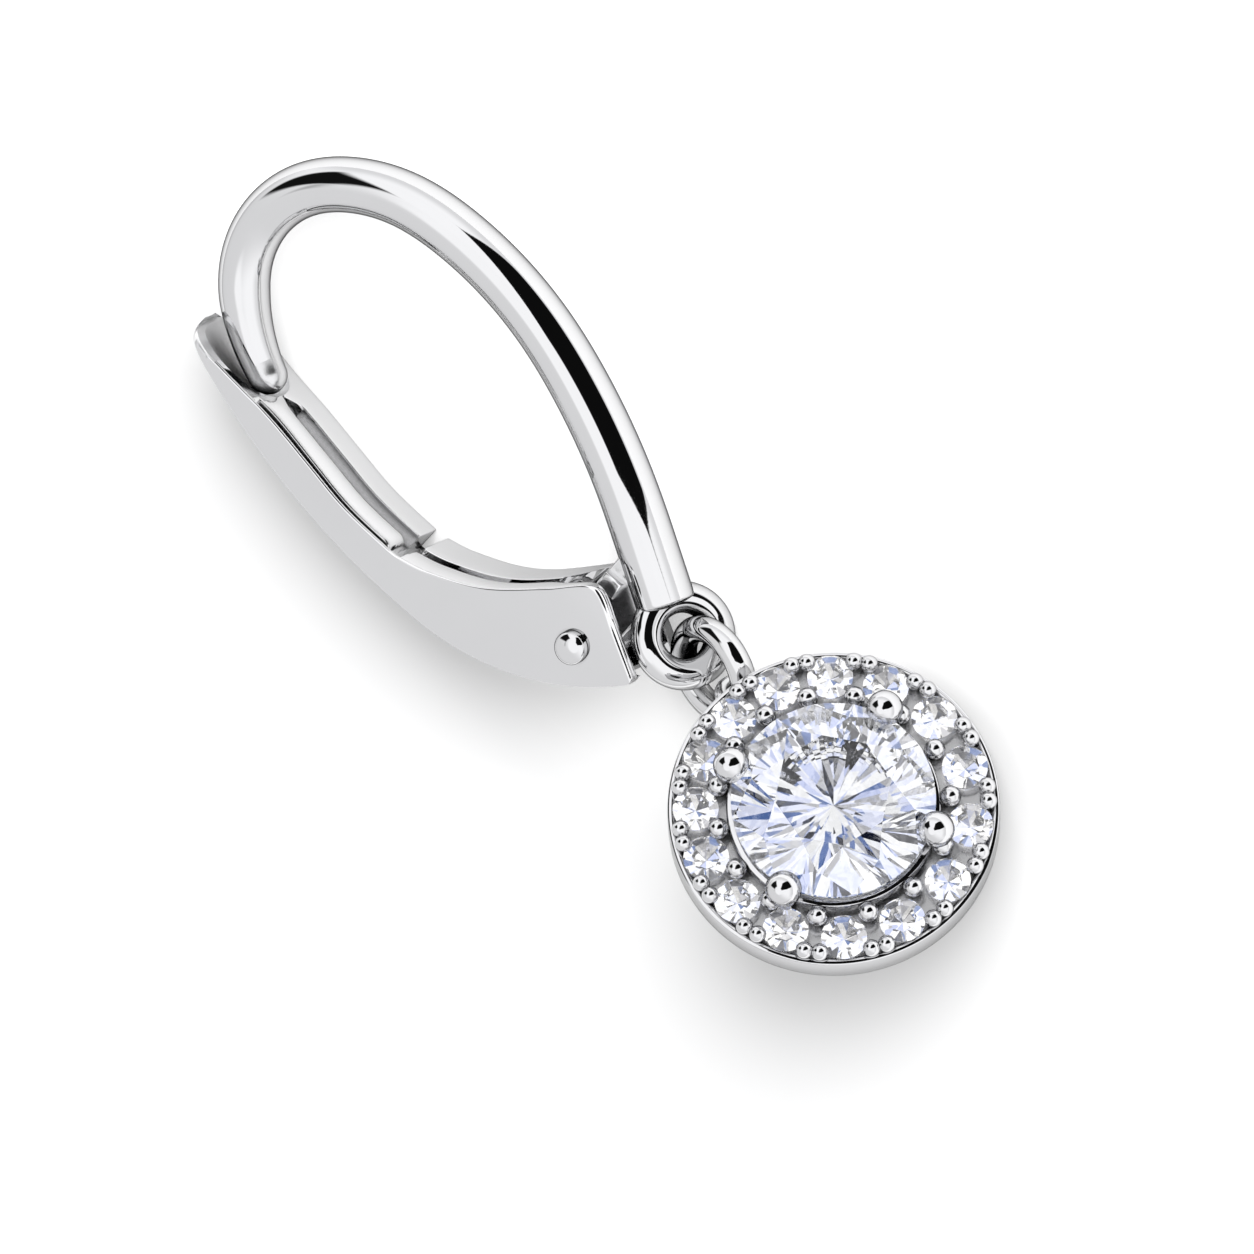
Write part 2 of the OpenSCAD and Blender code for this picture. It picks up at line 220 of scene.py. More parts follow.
def math_node(nodes, links, kind, a, b=None):
    node = nodes.new("ShaderNodeMath")
    node.operation = kind
    for socket, value in zip(node.inputs, (a, b)):
        if value is None:
            continue
        if isinstance(value, (int, float)):
            socket.default_value = value
        else:
            links.new(value, socket)
    return node.outputs[0]


def edge_node(nodes, links, value, start, end):
    """0 before start and 1 after end, smooth between; start may be above end."""
    node = nodes.new("ShaderNodeMapRange")
    node.interpolation_type = "SMOOTHSTEP"
    node.inputs["From Min"].default_value = min(start, end)
    node.inputs["From Max"].default_value = max(start, end)
    node.inputs["To Min"].default_value = 0.0 if start < end else 1.0
    node.inputs["To Max"].default_value = 1.0 if start < end else 0.0
    links.new(value, node.inputs["Value"])
    return node.outputs["Result"]


# how far the polish varies, how dull a recess is, and the depth of the hairlines in metres
POLISH_SPREAD, RECESS_DULL, HAIRLINE = 2.2, 0.3, 0.000002


def polished_gold(name, tint, rough, wear, reach, shade_range, darkest_shade, edge_tint):
    """White gold with faint colour drift, varying polish and hairline wear.

    Recesses narrower than reach, in metres, get painted shade in the base colour and go dull: down
    to the darkest shade, between the two shares of open sky in the shade range. edge_tint is what
    the metal keeps at grazing angles.
    """
    mat, nodes, links, bsdf = node_material(name)
    bsdf.inputs["Metallic"].default_value = 1.0
    drift = noise(nodes, links, scale=900.0)
    darker = tuple(0.97 * c for c in tint) + (1.0,)
    colour = ramp_of(nodes, links, drift.outputs["Fac"], darker, tint + (1.0,))
    # painted shade: ambient occlusion darkens the base colour in recesses, where shade falls
    recess = nodes.new("ShaderNodeAmbientOcclusion")
    recess.samples = 8
    recess.inputs["Distance"].default_value = reach
    shade = nodes.new("ShaderNodeMapRange")
    shade.interpolation_type = "SMOOTHSTEP"
    shade.inputs["From Min"].default_value = shade_range[0]
    shade.inputs["From Max"].default_value = shade_range[1]
    shade.inputs["To Min"].default_value = darkest_shade
    links.new(recess.outputs["AO"], shade.inputs["Value"])
    dark = nodes.new("ShaderNodeMix")
    dark.data_type = "RGBA"
    dark.blend_type = "MULTIPLY"
    dark.inputs["Factor"].default_value = 1.0
    links.new(colour.outputs["Color"], dark.inputs["A"])
    links.new(shade.outputs["Result"], dark.inputs["B"])
    links.new(dark.outputs["Result"], bsdf.inputs["Base Color"])
    bsdf.inputs["Specular Tint"].default_value = (edge_tint, edge_tint, edge_tint, 1.0)
    polish = noise(nodes, links, scale=2600.0, detail=4.0)
    spread = nodes.new("ShaderNodeMapRange")
    spread.inputs["To Min"].default_value = rough
    spread.inputs["To Max"].default_value = POLISH_SPREAD * rough
    links.new(polish.outputs["Fac"], spread.inputs["Value"])
    hidden = math_node(nodes, links, "SUBTRACT", 1.0, shade.outputs["Result"])
    dull = math_node(nodes, links, "MULTIPLY", hidden, RECESS_DULL)
    rougher = math_node(nodes, links, "ADD", spread.outputs["Result"], dull)
    links.new(rougher, bsdf.inputs["Roughness"])
    hair = noise(nodes, links, scale=14000.0, detail=3.0)
    bump = nodes.new("ShaderNodeBump")
    bump.inputs["Strength"].default_value = wear
    bump.inputs["Distance"].default_value = HAIRLINE
    links.new(hair.outputs["Fac"], bump.inputs["Height"])
    links.new(bump.outputs["Normal"], bsdf.inputs["Normal"])
    return mat


def cut_stone(name, tint, ior, glow):
    """Clear cut stone with a faint drift of tint inside, and a painted glow: a little light of its
    own.
    """
    mat, nodes, links, bsdf = node_material(name)
    bsdf.inputs["Transmission Weight"].default_value = 1.0
    bsdf.inputs["IOR"].default_value = ior
    bsdf.inputs["Roughness"].default_value = 0.0
    # painted glow: the stone emits a little white light of its own
    bsdf.inputs["Emission Color"].default_value = (1.0, 1.0, 1.0, 1.0)
    bsdf.inputs["Emission Strength"].default_value = glow
    drift = noise(nodes, links, scale=700.0)
    paler = tuple(0.6 * c + 0.4 for c in tint)
    colour = ramp_of(nodes, links, drift.outputs["Fac"], tint + (1.0,), paler + (1.0,))
    links.new(colour.outputs["Color"], bsdf.inputs["Base Color"])
    return mat


# each copy of the metal below takes painted shade in its recesses, set by its shade range and
# darkest shade
MIRROR_TINT = (0.785, 0.785, 0.79)
GOLD = polished_gold("white_gold_polished", MIRROR_TINT, rough=0.02, wear=0.05, reach=0.0005,
                     shade_range=(0.12, 0.62), darkest_shade=0.04, edge_tint=0.12)
GOLD_TIP = polished_gold("white_gold_tip", MIRROR_TINT, rough=0.13, wear=0.05, reach=0.0005,
                         shade_range=(0.12, 0.62), darkest_shade=0.04, edge_tint=0.12)
GOLD_LEVER = polished_gold("white_gold_lever", MIRROR_TINT, rough=0.02, wear=0.05, reach=0.0005,
                           shade_range=(0.24, 0.72), darkest_shade=0.02, edge_tint=0.6)
# the raised bands: a lighter copy of the polished metal, a painted highlight
GOLD_BAND_HIGHLIGHT = polished_gold("white_gold_band_painted_highlight", (0.94, 0.94, 0.945), rough=0.04, wear=0.05,
                          reach=0.0005, shade_range=(0.2, 0.6), darkest_shade=0.02, edge_tint=0.8)
# the cup: satin finish, and a lighter tint than the polished metal, which is painted light
GOLD_CUP = polished_gold("white_gold_cup", (0.95, 0.95, 0.955), rough=0.2, wear=0.05,
                         reach=0.0010, shade_range=(0.0, 0.36), darkest_shade=0.08, edge_tint=0.9)
# the hinge tab and the notch: satin finish, and a lighter tint than the polished metal, which is
# painted light
GOLD_HINGE = polished_gold("white_gold_hinge", (0.86, 0.86, 0.865), rough=0.12, wear=0.05,
                           reach=0.0004, shade_range=(0.02, 0.42), darkest_shade=0.12, edge_tint=0.9)
GOLD_CAST = polished_gold("white_gold_setting", (0.78, 0.78, 0.79), rough=0.03, wear=0.08,
                          reach=0.0004, shade_range=(0.04, 0.62), darkest_shade=0.42, edge_tint=0.3)
GOLD_PLATE = polished_gold("white_gold_plate", (0.80, 0.80, 0.81), rough=0.16, wear=0.08,
                           reach=0.0003, shade_range=(0.0, 0.5), darkest_shade=0.4, edge_tint=0.9)
# the setting's outer wall: a darker copy of the cast metal, painted shade
GOLD_WALL_SHADED = polished_gold("white_gold_halo_wall_painted_shade", (0.56, 0.56, 0.568), rough=0.09, wear=0.08,
                          reach=0.0004, shade_range=(0.04, 0.62), darkest_shade=0.42, edge_tint=0.6)
STONE_BIG = cut_stone("centre_brilliant", (0.97, 0.98, 1.0), ior=2.42, glow=0.0)
# the halo stones give off a faint painted glow of their own
STONE_SMALL = cut_stone("halo_brilliant", (0.99, 0.98, 0.96), ior=1.86, glow=0.025)


# Ear wire: arcs of radius, turn and wire diameter, with the joins between them eased

WIRE_START, WIRE_HEADING = np.array([0.62, 2.00]), 153.6
BASE_D = 1.5
WIRE_ARCS = [(600.0, 0.2, BASE_D), (17.2, 14.7, 1.46), (10.2, 27.0, 1.42),
             (4.55, 37.8, 1.37), (2.77, 87.0, 1.28), (5.0, 24.0, 0.96)]
# how far from the wire's tip its finish is satin
TIP_SATIN = 0.62
LOOP_C = np.array([1.5, 1.69, 1.285])
LOOP_R, LOOP_WIRE_R = 0.95, 0.39
LOOP_LINE, LOOP_TWIST = math.radians(-24), math.radians(50)
LOOP_N = np.array([-math.sin(LOOP_TWIST) * math.sin(LOOP_LINE),
                   math.sin(LOOP_TWIST) * math.cos(LOOP_LINE), math.cos(LOOP_TWIST)])


def eased(values, width):
    """A running mean, which keeps the ends."""
    kernel = np.ones(width) / width
    padded = np.pad(values, width // 2, mode="edge")
    return np.convolve(padded, kernel, "valid")[:len(values)]


def wire_line():
    """Centre line points, headings and diameters along the ear wire."""
    step, ease_mm = 0.05, 1.5
    bend, size = [], []
    last = BASE_D
    for radius, turn, d in WIRE_ARCS:
        length = radius * math.radians(turn)
        n = max(2, round(length / step))
        bend.extend([1.0 / radius] * n)
        size.extend(np.linspace(last, d, n, endpoint=False))
        last = d
    width = int(ease_mm / step) | 1
    bend = eased(np.array(bend), width)
    size = eased(np.array(size), width // 3 | 1)
    heading = math.radians(WIRE_HEADING) + np.concatenate([[0], np.cumsum(bend[:-1]) * step])
    way = np.stack([np.cos(heading), np.sin(heading)], 1)
    at = WIRE_START + np.concatenate([[[0, 0]], np.cumsum(way[:-1] * step, 0)])
    return at, heading, size


def make_ear_wire():
    """The wire with its rounded ends, its base loop and the hinge tab."""
    sides, end_rings, base_round = 72, 7, 0.16
    shape = Shape()
    at, heading, size = wire_line()
    turn = np.linspace(0, 2 * math.pi, sides, endpoint=False)
    rings = []

    def ring(p, h, r, back=0.0):
        way = np.array([math.cos(h), math.sin(h), 0.0])
        side = np.array([-math.sin(h), math.cos(h), 0.0])
        centre = np.array([p[0], p[1], MID_Z]) + back * way
        return centre + r * (np.cos(turn)[:, None] * side + np.sin(turn)[:, None] * [0.0, 0.0, 1.0])

    for k in range(end_rings, 0, -1):
        t = k / end_rings * 0.97
        base_r = size[0] / 2 * math.sqrt(1 - t * t)
        rings.append(ring(at[0], heading[0], base_r, -base_round * t))
    rings.extend(ring(p, h, d / 2) for p, h, d in zip(at, heading, size))
    tip_r = size[-1] / 2
    for k in range(1, end_rings + 1):
        t = k / end_rings * 0.985
        rings.append(ring(at[-1], heading[-1], tip_r * math.sqrt(1 - t * t), tip_r * t))
    shape.tube(rings)
    shape.torus(LOOP_C, LOOP_N, LOOP_R, LOOP_WIRE_R, 128, 48)
    first_tab_face = len(shape.faces)
    hinge_tab(shape)
    wire = shape.piece("ear_wire_polished", GOLD, "hook", ["ear_wire"])
    # the hinge tab gets a satin copy of the metal with a lighter painted tint
    repaint(wire, GOLD_HINGE, lambda centre, normal: True, first_tab_face)
    tip = np.array([*at[-1], MID_Z])
    repaint(wire, GOLD_TIP, lambda centre, normal: np.linalg.norm(centre - tip) < TIP_SATIN)


def prism(shape, outline, z0, z1, bevel):
    """An upright prism over an outline that turns left, with its two rims bevelled."""
    pts = np.asarray(outline, float)
    before = pts - np.roll(pts, 1, 0)
    after = np.roll(pts, -1, 0) - pts
    n0 = np.stack([before[:, 1], -before[:, 0]], 1) / np.linalg.norm(before, axis=1)[:, None]
    n1 = np.stack([after[:, 1], -after[:, 0]], 1) / np.linalg.norm(after, axis=1)[:, None]
    out = n0 + n1
    out = out / (1 + (n0 * n1).sum(1))[:, None]
    rings = []
    steps = [(math.cos(a), 1 - math.sin(a)) for a in np.radians([90, 60, 30, 0])]
    levels = [(z0 + bevel * h, bevel * (1 - c)) for c, h in steps]
    levels += [(z1 - bevel * h, bevel * (1 - c)) for c, h in reversed(steps)]
    for z, inset in levels:
        flat = pts - out * inset
        rings.append(np.column_stack([flat, np.full(len(flat), z)]))
    shape.tube(rings)


def hinge_tab(shape):
    """The tab on the wire's base that the rivet passes through, and its stop block."""
    boss_r, half_w, bevel = 0.68, 0.5, 0.06
    turn = np.radians(np.linspace(150, 395, 40))
    boss = [(boss_r * math.cos(a), boss_r * math.sin(a)) for a in turn]
    outline = boss + [(0.56, 0.55), (0.5, 1.9), (-0.9, 2.35), (-0.86, 1.2), (-0.66, 0.5)]
    prism(shape, outline, MID_Z - half_w, MID_Z + half_w, bevel)
    block = [(-0.78, 1.22), (-0.24, 1.30), (-0.30, 1.78), (-0.84, 1.70)]
    prism(shape, block, MID_Z - 0.25, MID_Z + 0.72, bevel)


# Lever: a sheet of heights over stations along x and lines across z, closed below by the belly.
# TOP_ROWS are x and y of its upper edge. The belly is an arc about LOW_X that a tighter one joins.

TOP_ROWS = np.array([
    (-12.43, -2.42), (-12.06, -2.37), (-11.34, -2.32), (-10.77, -2.29), (-10.19, -2.25),
    (-9.70, -2.21), (-9.00, -2.20), (-7.76, -2.24), (-6.47, -2.27), (-5.10, -2.12),
    (-4.66, -2.03), (-3.84, -1.66), (-2.59, -0.78), (-1.45, 0.55), (-0.81, 1.40),
    (-0.42, 1.50), (0.45, 1.12), (1.19, 0.80), (1.64, 0.60)])
LOW_X, LOW_Y, BELLY_R = -6.9, -3.15, 20.6
JOIN_X, JOIN_R = -3.3, 7.4
END_X, TIP_X = -12.44, 1.64
NOTCH_X0, NOTCH_X1 = -4.97, -4.63
FLOOR_END_X = 1.15
SLOT_Z0, SLOT_Z1, SLOT_DEEP = 0.98, 1.62, 0.5
GROOVE_Z0, GROOVE_Z1, GROOVE_DEEP = 2.52, 2.70, 0.22
NOTCH_DEEP = 0.62
CUP_X0, CUP_X1, CUP_HALF = -12.33, -9.80, 1.14
CUP_MID_X = (CUP_X0 + CUP_X1) / 2
CUP_LONG_HALF = CUP_X1 - CUP_MID_X
# the oval's power, and the two powers of the bowl's sides
CUP_POWER, BOWL_POWER, BOWL_ROUND = 2.3, 3.4, 0.55
# height of the cup's floor above the belly's arc, and where its rim turns
CUP_FLOOR_UP, CUP_RIM_X = 0.04, -11.3
SLOT_X0, SLOT_FULL_X = -9.77, -9.25
# the channel's far and near edge at the notch, and how much further out each is past its widening
CHANNEL_FAR, CHANNEL_NEAR = 1.44, 1.86
WIDEN_FAR, WIDEN_NEAR = 1.02, 0.48
WIDEN_X0, WIDEN_X1 = -1.75, -0.95
CHANNEL_CORNER_R = 0.14
FLOOR_T, LEAST_T = 0.3, 0.05
EDGE_R, OUTER_EDGE_R, BELLY_EDGE_R, BELLY_END_R = 0.05, 0.06, 0.05, 0.3
TOP_TILT, TONGUE_SWELL, BAND_SWELL, BELLY_SWELL = 0.16, 0.07, 0.05, 0.22
TONGUE_NOSE_R = 0.3
CATCH_R, FAR_CATCH_R = 0.98, 1.4


def smooth_rows(rows, x):
    """A smooth curve through the rows at x."""
    slopes = np.empty(len(rows))
    slopes[1:-1] = (rows[2:, 1] - rows[:-2, 1]) / (rows[2:, 0] - rows[:-2, 0])
    slopes[0] = (rows[1, 1] - rows[0, 1]) / (rows[1, 0] - rows[0, 0])
    slopes[-1] = (rows[-1, 1] - rows[-2, 1]) / (rows[-1, 0] - rows[-2, 0])
    i = int(np.clip(np.searchsorted(rows[:, 0], x) - 1, 0, len(rows) - 2))
    w = rows[i + 1, 0] - rows[i, 0]
    t = (x - rows[i, 0]) / w
    return (rows[i, 1] * (2 * t**3 - 3 * t**2 + 1) + slopes[i] * w * (t**3 - 2 * t**2 + t)
            + rows[i + 1, 1] * (3 * t**2 - 2 * t**3) + slopes[i + 1] * w * (t**3 - t**2))


def belly_y(x):
    """Height of the belly's arc at x, or past JOIN_X of the tighter one."""
    turn = math.asin((JOIN_X - LOW_X) / BELLY_R)
    if x < JOIN_X:
        return LOW_Y + BELLY_R - math.sqrt(BELLY_R**2 - (x - LOW_X)**2)
    join_y = LOW_Y + BELLY_R * (1 - math.cos(turn))
    cx, cy = JOIN_X - JOIN_R * math.sin(turn), join_y + JOIN_R * math.cos(turn)
    return cy - math.sqrt(JOIN_R**2 - (x - cx)**2)


def ramp(x, x0, x1):
    """0 before x0, 1 after x1, smooth between; x0 may be above x1."""
    t = min(1.0, max(0.0, (x - x0) / (x1 - x0)))
    return t * t * (3 - 2 * t)


def corner(d, r):
    """Drop of a quarter round of radius r at distance d inside its edge."""
    if d >= r:
        return 0.0
    d = max(d, 0.0)
    return r - math.sqrt(max(0.0, r * r - (r - d)**2))


def plan_limits(x):
    """The lever's far and near face at x: a straight bar with a rounded catch end."""
    return corner(x - END_X, FAR_CATCH_R), LEVER_W - corner(x - END_X, CATCH_R)


def hollow_limits(x):
    """Far and near edge of the hollow at x: the cup, then the slot, the notch and the channel."""
    if x <= CUP_X1:
        t = min(1.0, abs(x - CUP_MID_X) / CUP_LONG_HALF)
        half = max(0.03, CUP_HALF * (1 - t ** CUP_POWER) ** (1 / CUP_POWER))
        return MID_Z - half, MID_Z + half
    if x < NOTCH_X0:
        open_up = ramp(x, CUP_X1 - 0.1, SLOT_FULL_X)
        return MID_Z + (SLOT_Z0 - MID_Z) * open_up, MID_Z + (SLOT_Z1 - MID_Z) * open_up
    round_in = corner(max(x - NOTCH_X1, 0.0), CHANNEL_CORNER_R)
    widen = ramp(x, WIDEN_X0, WIDEN_X1)
    far = CHANNEL_FAR - WIDEN_FAR * widen - round_in
    near = CHANNEL_NEAR + 0.08 * ramp(x, -4.4, -2.0) + WIDEN_NEAR * widen + 0.5 * round_in
    past = ramp(x, NOTCH_X0 + 0.05, NOTCH_X1 - 0.05)
    return SLOT_Z0 + (far - SLOT_Z0) * past, SLOT_Z1 + (near - SLOT_Z1) * past


def lever_stations():
    """Stations along x, close together at every step of the form."""
    near_step = np.array([-0.05, -0.035, -0.02, -0.008, 0.008, 0.02, 0.035, 0.05])
    cup_round = CUP_X0 + CUP_LONG_HALF * (1 - np.cos(np.linspace(0.0, math.pi, 56)))
    end_round = END_X + CATCH_R * (1 - np.cos(np.linspace(0.02, math.pi / 2, 20)))
    xs = np.concatenate([
        end_round, cup_round, SLOT_X0 + near_step,
        np.arange(-9.66, -5.4, 0.1), NOTCH_X0 - np.linspace(0.05, 0.34, 10),
        NOTCH_X0 + near_step, [-4.86, -4.8, -4.74], NOTCH_X1 + near_step,
        NOTCH_X1 + np.linspace(0.06, 0.2, 6), np.arange(-4.4, -0.95, 0.08),
        np.arange(-0.92, -0.2, 0.03), np.arange(-0.2, FLOOR_END_X - 0.02, 0.08),
        [FLOOR_END_X, FLOOR_END_X + 0.02], np.arange(1.2, TIP_X - 0.06, 0.06),
        TIP_X - np.array([0.05, 0.035, 0.02, 0.01, 0.0])])
    xs = np.unique(np.round(xs, 4))
    keep = [xs[0]]
    for x in xs[1:]:
        if x - keep[-1] > 0.006:
            keep.append(x)
    return keep


# Distances of lines from the lever's sides and from a step, and how many lines lie evenly
# between them in each of the five segments.
SIDE = [0.0, 0.006, 0.018, 0.036, 0.06, 0.11]
STEP = [0.05, 0.03, 0.014, 0.004]
LINES_BETWEEN = [5, 30, 13, 3, 1]


def line_places(x):
    """z of every line at station x, with the segment that each belongs to."""
    lo, hi = plan_limits(x)
    far, near = hollow_limits(x)
    g0, g1 = GROOVE_Z0 - 0.05 * ramp(x, -7.0, -9.4), GROOVE_Z1
    if x > NOTCH_X1:
        g0, g1 = near + (LEVER_W - near) * 0.45, near + (LEVER_W - near) * 0.55
    # the marks keep apart, so that no segment turns over
    far = min(max(far, lo + 0.1), hi - 0.36)
    near = max(min(near, hi - 0.24), far + 0.04)
    g0 = min(max(g0, near + 0.08), hi - 0.13)
    g1 = min(max(g1, g0 + 0.04), hi - 0.08)
    marks = [lo, far, near, g0, g1, hi]
    last = len(LINES_BETWEEN) - 1
    places, segments = [], []
    for s in range(last + 1):
        a, b = marks[s], marks[s + 1]
        half = (b - a) / 2
        start = SIDE if s == 0 else STEP[::-1]
        end = SIDE[::-1] if s == last else STEP
        scale = min(1.0, 0.8 * half / max(max(start), max(end)))
        left = [a + d * scale for d in start]
        right = [b - d * scale for d in end]
        middle = np.linspace(left[-1], right[0], LINES_BETWEEN[s] + 2)[1:-1]
        row = left + list(middle) + right
        places.extend(row)
        segments.extend([s] * len(row))
    return np.array(places), segments, marks


def segment_depths(x):
    """Depth below the lever's top edge of the five segments at x."""
    if NOTCH_X0 < x < NOTCH_X1:
        return [NOTCH_DEEP, NOTCH_DEEP, NOTCH_DEEP, NOTCH_DEEP, 0.0]
    if x >= NOTCH_X1:
        deep_channel = smooth_rows(TOP_ROWS, x) - belly_y(x) - FLOOR_T
        channel = NOTCH_DEEP + (deep_channel - NOTCH_DEEP) * ramp(x, NOTCH_X1, -3.4)
        return [0.0, channel, 0.0, 0.0, 0.0]
    groove = GROOVE_DEEP * ramp(x, CUP_X1 - 0.2, CUP_X1 + 0.1)
    slot = SLOT_DEEP if x >= SLOT_X0 else 0.0
    return [0.0, slot, 0.0, groove, 0.0]


def top_surface(x, z, s, marks):
    """Height of the lever's upper surface at x, z in segment s."""
    depths = segment_depths(x)
    edge = smooth_rows(TOP_ROWS, x)
    tilt = TOP_TILT * (1 - z / LEVER_W) * ramp(x, -11.5, -9.5) * (1 - ramp(x, -2.2, -1.1))
    y = edge - tilt - depths[s]
    if s == 1 and x <= CUP_X1:
        # the cup: an oval bowl whose sides rise smoothly to its rim
        floor = belly_y(x) + CUP_FLOOR_UP
        out_x = abs(x - CUP_MID_X) / CUP_LONG_HALF
        out_z = abs(z - MID_Z) / CUP_HALF
        reach = min(1.0, (out_x ** CUP_POWER + out_z ** CUP_POWER) ** (1 / CUP_POWER))
        y = edge - tilt - (edge - tilt - floor) * (1 - reach ** BOWL_POWER) ** BOWL_ROUND
    if s == 2 and x <= NOTCH_X0:
        # the tongue swells between the slot and the groove, and ends in a round nose
        across = (z - marks[2]) / (marks[3] - marks[2])
        y += TONGUE_SWELL * (1 - (2 * across - 1) ** 2) * ramp(x, -9.9, -9.5)
        y -= corner(NOTCH_X0 - x, TONGUE_NOSE_R) * ramp(x, -5.4, -5.2)
    if s >= 2 and x > NOTCH_X1:
        # the near band swells a little between the channel and its outer edge
        across = (z - marks[2]) / (marks[5] - marks[2])
        y += BAND_SWELL * (1 - (2 * across - 1) ** 2)
    for mark, other in ((s, s - 1), (s + 1, s + 1)):
        if 0 <= other <= 4 and depths[other] > depths[s] + 0.02:
            y -= corner(abs(z - marks[mark]), EDGE_R)
    for wall_x, sides in ((NOTCH_X0, -1), (NOTCH_X1, 1)):
        if s in (0, 2, 3) and (x - wall_x) * sides > 0:
            y -= corner(abs(x - wall_x), EDGE_R)
    if s in (0, 4):
        outer = z - marks[0] if s == 0 else marks[5] - z
        y -= corner(outer, OUTER_EDGE_R)
    y -= corner(TIP_X - x, EDGE_R)
    return y


def bottom_surface(x, z, marks):
    """Height of the lever's underside at x, z, which swells towards the catch end."""
    swell = BELLY_SWELL * min(1.0, max(0.0, (JOIN_X - x) / 3))
    y = belly_y(x) - swell * (1 - ((z - MID_Z) / MID_Z) ** 2)
    side = min(z - marks[0], marks[5] - z)
    return y + corner(side, BELLY_EDGE_R) + corner(x - END_X, BELLY_END_R)


def make_lever():
    """The lever: upper and lower sheet, joined by walls round their edges and the floor's cut."""
    xs = lever_stations()
    tops, bottoms, segs = [], [], None
    for x in xs:
        places, segs, marks = line_places(x)
        low = [bottom_surface(x, z, marks) for z in places]
        high = [top_surface(x, z, s, marks) for z, s in zip(places, segs)]
        high = [max(h, b + LEAST_T) for h, b in zip(high, low)]
        tops.append(np.column_stack([np.full(len(places), x), high, places]))
        bottoms.append(np.column_stack([np.full(len(places), x), low, places]))
    n, m = len(xs), len(segs)
    verts = np.concatenate(tops + bottoms)
    base = n * m
    solid = np.ones((n - 1, m - 1), bool)
    for i in range(n - 1):
        for k in range(m - 1):
            if xs[i] >= FLOOR_END_X - 1e-6 and segs[k] == 1 and segs[k + 1] == 1:
                solid[i, k] = False
    faces = []

    def at(i, k, under=False):
        return i * m + k + (base if under else 0)

    for i in range(n - 1):
        for k in range(m - 1):
            if not solid[i, k]:
                continue
            faces.append([at(i, k), at(i, k + 1), at(i + 1, k + 1), at(i + 1, k)])
            faces.append([at(i, k, True), at(i + 1, k, True), at(i + 1, k + 1, True),
                          at(i, k + 1, True)])
            for di, dk, a, b in ((-1, 0, (i, k), (i, k + 1)), (1, 0, (i + 1, k + 1), (i + 1, k)),
                                 (0, -1, (i + 1, k), (i, k)), (0, 1, (i, k + 1), (i + 1, k + 1))):
                u, v = i + di, k + dk
                if 0 <= u < n - 1 and 0 <= v < m - 1 and solid[u, v]:
                    continue
                faces.append([at(*a), at(*a, True), at(*b, True), at(*b)])
    shape = Shape()
    shape.add(verts, faces)
    lever = shape.piece("lever_polished", GOLD_LEVER, "lever", ["lever"], 38)
    crown_cheeks(lever.data)
    # the cup gets a satin copy of the metal with a lighter painted tint
    repaint(lever, GOLD_CUP, in_cup)
    # the raised bands get the lighter copy of the metal, a painted highlight
    repaint(lever, GOLD_BAND_HIGHLIGHT, on_top_bands)
    # the notch gets the same satin copy with its lighter painted tint
    repaint(lever, GOLD_HINGE, in_notch)


def on_top_bands(centre, normal):
    """Picks the raised bands beside the slot and the channel, which get a painted highlight."""
    x, y, z = centre
    far, near = hollow_limits(x)
    return x > CUP_RIM_X and normal[1] > 0.3 and not far < z < near and y > belly_y(x) + 0.4


def in_notch(centre, normal):
    """Picks the cross notch, for the hinge's lighter painted tint."""
    x, y, z = centre
    inside = NOTCH_X0 - 0.012 < x < NOTCH_X1 + 0.012 and 0.05 < z < LEVER_W - 0.05
    return inside and y < smooth_rows(TOP_ROWS, x) - 0.06 and y > belly_y(x) + 0.2


def in_cup(centre, normal):
    """Picks the bowl of the cup, and past CUP_RIM_X its rim too, for their lighter painted tint."""
    x, _, z = centre
    if x > CUP_X1 or normal[1] < 0.02:
        return False
    far, near = hollow_limits(x)
    return x < CUP_RIM_X or far < z < near


# radius and middle of the cheeks' very slight crown, as hand polish leaves it
CROWN_R, CROWN_X, CROWN_Y = 75.0, -5.0, -1.6


def crown_cheeks(mesh):
    """Turns the normals of the upright side faces a little away from the crown's middle."""
    normals = np.empty(len(mesh.loops) * 3)
    mesh.corner_normals.foreach_get("vector", normals)
    normals = normals.reshape(-1, 3)
    for face in mesh.polygons:
        if abs(face.normal.z) < 0.9995:
            continue
        for k in range(face.loop_start, face.loop_start + face.loop_total):
            at = mesh.vertices[mesh.loops[k].vertex_index].co
            lean_x = (at.x / MM - RIVET_X - CROWN_X) / CROWN_R
            lean_y = (at.y / MM - RIVET_Y - CROWN_Y) / CROWN_R
            normals[k] = unit([lean_x, lean_y, math.copysign(1.0, face.normal.z)])
    mesh.normals_split_custom_set(normals.tolist())


def make_rivet():
    """Rivet: shank through both cheeks and a domed head on the near cheek."""
    head_r, head_h, side_h, shank_r, bevel = 0.42, 0.33, 0.15, 0.28, 0.02
    z0, far_z = LEVER_W, 0.04
    turn = np.linspace(0, math.pi / 2, 18)
    profile = [(ON_AXIS, z0 + head_h)]
    profile += [(head_r * math.sin(t), z0 + side_h + (head_h - side_h) * math.cos(t))
                for t in turn[1:]]
    profile += [(head_r, z0 + 0.025), (head_r - bevel, z0 + 0.004), (shank_r, z0 + 0.002),
                (shank_r, far_z + bevel), (shank_r - bevel, far_z), (ON_AXIS, far_z)]
    shape = Shape()
    shape.lathe(profile, (0, 0, 0), (0, 0, 1), 96, closed_profile=False)
    shape.piece("rivet_domed", GOLD, "lever", ["rivet_pin"])


RING_C = LOOP_C + np.array([1.144, -0.02, -0.055])
RING_N = unit([-0.1148, -0.4364, 0.8924])
RING_R, RING_WIRE_R = 1.11, 0.33


